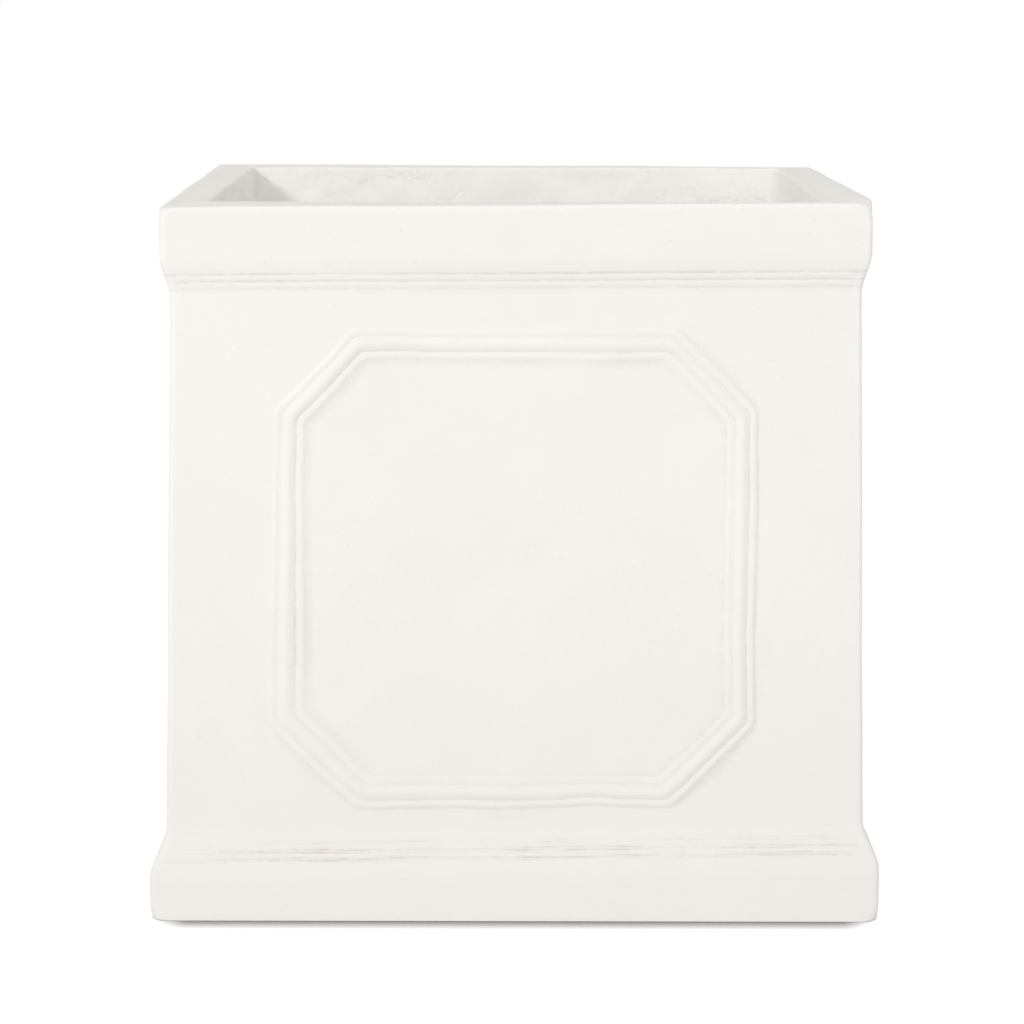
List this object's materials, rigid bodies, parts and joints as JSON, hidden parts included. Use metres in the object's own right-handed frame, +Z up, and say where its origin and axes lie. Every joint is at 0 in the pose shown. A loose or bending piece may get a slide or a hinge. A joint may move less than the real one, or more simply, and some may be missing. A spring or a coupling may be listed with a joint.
{
  "type": "planter",
  "caption": "Square cast planter box with a moulded rim, a moulded plinth, a raised octagonal moulding on each side, an open planting cavity and a floor with a drain hole.",
  "frame": {"origin": "centre of the plinth's underside, on the ground", "axes": "+Z up, front towards -Y, +X to the right seen from the front"},
  "size_m": [0.61, 0.61, 0.598],
  "materials": {
    "cast_panel": "matte",
    "cast_floor": "matte",
    "mortar": "matte"
  },
  "bodies": {
    "root": {"front_panel": "cast_panel", "right_panel": "cast_panel", "back_panel": "cast_panel", "left_panel": "cast_panel", "floor_slab": "cast_floor", "front_left_fillet": "mortar", "front_right_fillet": "mortar", "back_right_fillet": "mortar", "back_left_fillet": "mortar"}
  },
  "joints": []
}
